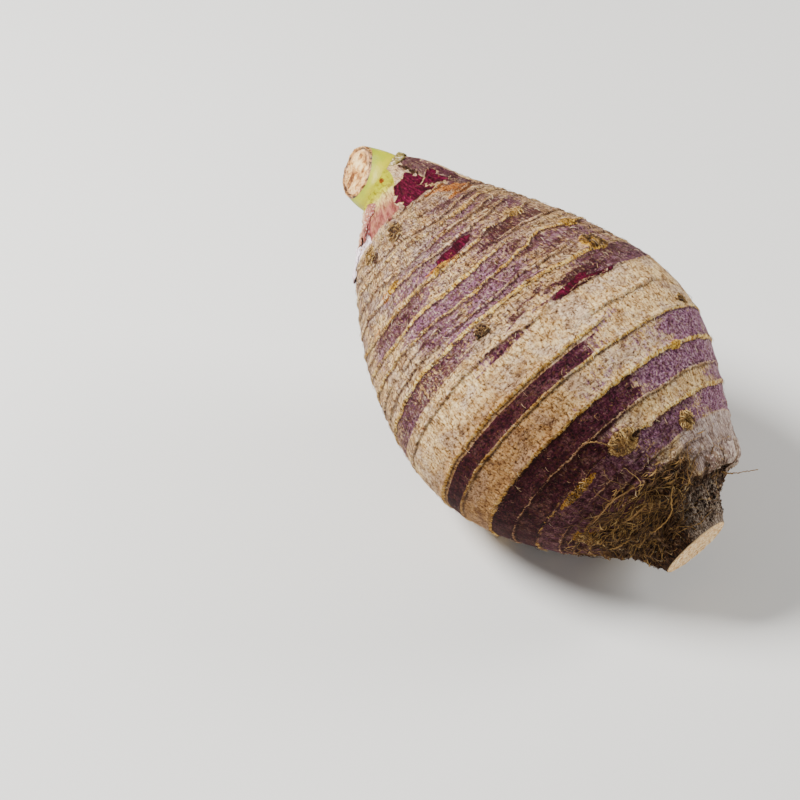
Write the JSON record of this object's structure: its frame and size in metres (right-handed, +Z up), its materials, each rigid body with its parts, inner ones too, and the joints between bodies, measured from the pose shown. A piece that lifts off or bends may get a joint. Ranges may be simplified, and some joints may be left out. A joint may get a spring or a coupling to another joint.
{
  "type": "taro root",
  "caption": "Whole taro corm, dug and trimmed, with a cut leaf stalk stub at one end, a cut root neck at the other and loose hair roots, lying on its belly.",
  "frame": {"origin": "middle of the footprint, on the surface that the corm lies on", "axes": "+X from the shoot end towards the root end, +Y across the corm, +Z up from the belly it lies on"},
  "size_m": [0.1679, 0.1, 0.0938],
  "materials": {
    "corm_skin": "dry fibrous skin in purple and tan bands with ochre ring scars",
    "stalk_green": "fresh satin leaf stalk with a pale matte cut",
    "scale_pink": "thin papery scale, soft satin",
    "hair_root_tan": "dry matte fibre"
  },
  "bodies": {
    "root": {"corm": "corm_skin", "leaf_stalk_stub": "stalk_green", "neck_bud_scale": "scale_pink", "hair_root_1": "hair_root_tan", "hair_root_2": "hair_root_tan", "hair_root_3": "hair_root_tan", "hair_root_4": "hair_root_tan", "hair_root_5": "hair_root_tan", "hair_root_6": "hair_root_tan", "hair_root_7": "hair_root_tan", "hair_root_8": "hair_root_tan", "hair_root_9": "hair_root_tan"}
  },
  "joints": []
}
